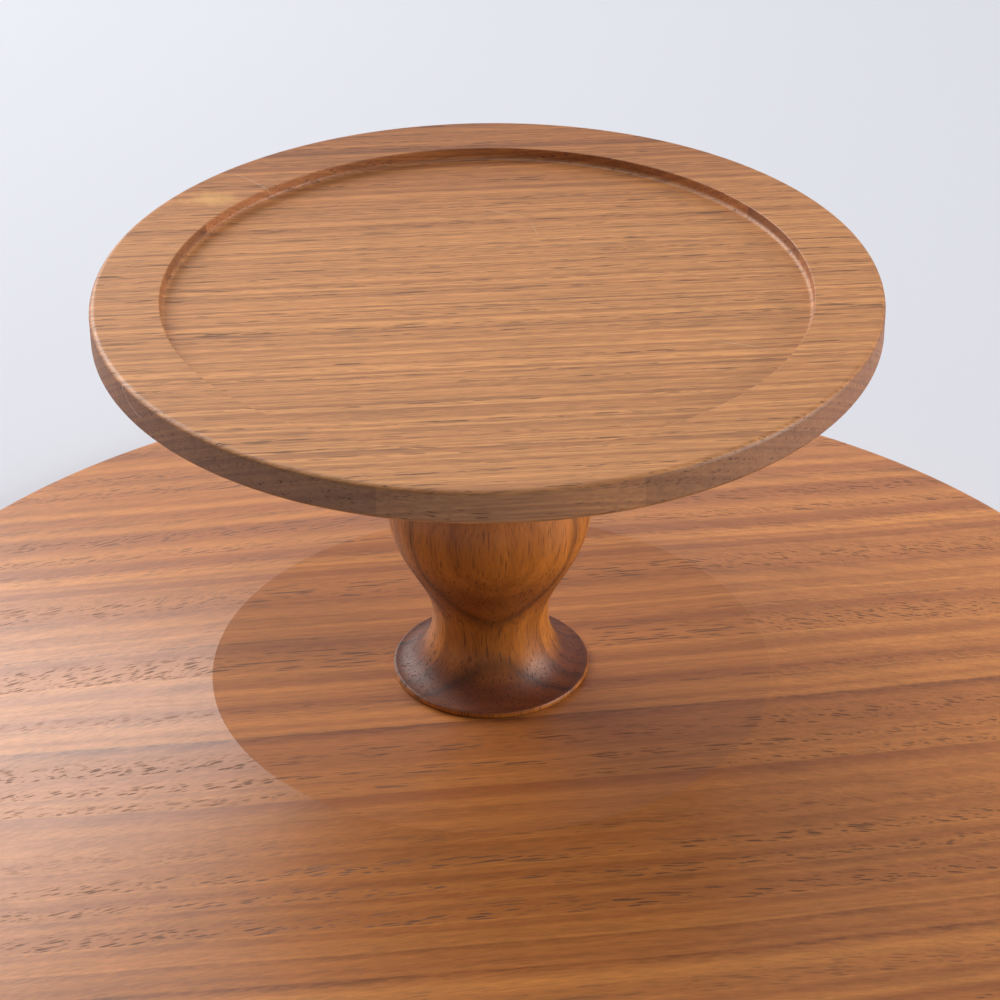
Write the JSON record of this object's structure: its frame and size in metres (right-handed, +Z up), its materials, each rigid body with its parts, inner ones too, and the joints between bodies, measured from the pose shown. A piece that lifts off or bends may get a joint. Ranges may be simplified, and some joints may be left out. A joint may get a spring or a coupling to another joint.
{
  "type": "two-level serving stand",
  "caption": "Round wooden cheese stand: small rimmed tray on a turned pedestal above a large tapered round plate, which the pedestal unscrews from.",
  "frame": {"origin": "centre of the plate's resting ring, on the surface the stand rests on", "axes": "+Z up along the pedestal's axis; +X along the staves and the wood grain; -Y is the front"},
  "size_m": [0.305, 0.305, 0.1142],
  "materials": {
    "plate_wood": "oiled, satin",
    "tray_wood": "oiled, matt",
    "pedestal_wood": "oiled, satin",
    "bolt_steel": "zinc plated",
    "insert_brass": "as turned"
  },
  "bodies": {
    "plate_body": {"plate_stave_1": "plate_wood", "plate_stave_2": "plate_wood", "plate_stave_3": "plate_wood", "plate_stave_4": "plate_wood", "plate_stave_5": "plate_wood", "plate_stave_6": "plate_wood", "plate_stave_7": "plate_wood", "plate_stave_8": "plate_wood", "plate_stave_9": "plate_wood", "threaded_insert": "insert_brass"},
    "bolt_body": {"hanger_bolt": "bolt_steel"},
    "pedestal_body": {"pedestal": "pedestal_wood", "tray_stave_1": "tray_wood", "tray_stave_2": "tray_wood", "tray_stave_3": "tray_wood", "tray_stave_4": "tray_wood", "tray_stave_5": "tray_wood", "tray_stave_6": "tray_wood", "tray_stave_7": "tray_wood", "tray_stave_8": "tray_wood", "tray_stave_9": "tray_wood"}
  },
  "joints": [
    {"name": "screw_lift", "type": "slide", "parent": "plate_body", "child": "bolt_body", "axis": [0, 0, 1], "range_m": [0, 0.0138]},
    {"name": "screw_turn", "type": "hinge", "parent": "bolt_body", "child": "pedestal_body", "pos_m": [0, 0, 0.024], "axis": [0, 0, 1], "range_deg": [0, 3960]}
  ],
  "couplings": [
    {"joint": "screw_lift", "follows": "screw_turn", "m_per_rad": 0.00019894}
  ]
}
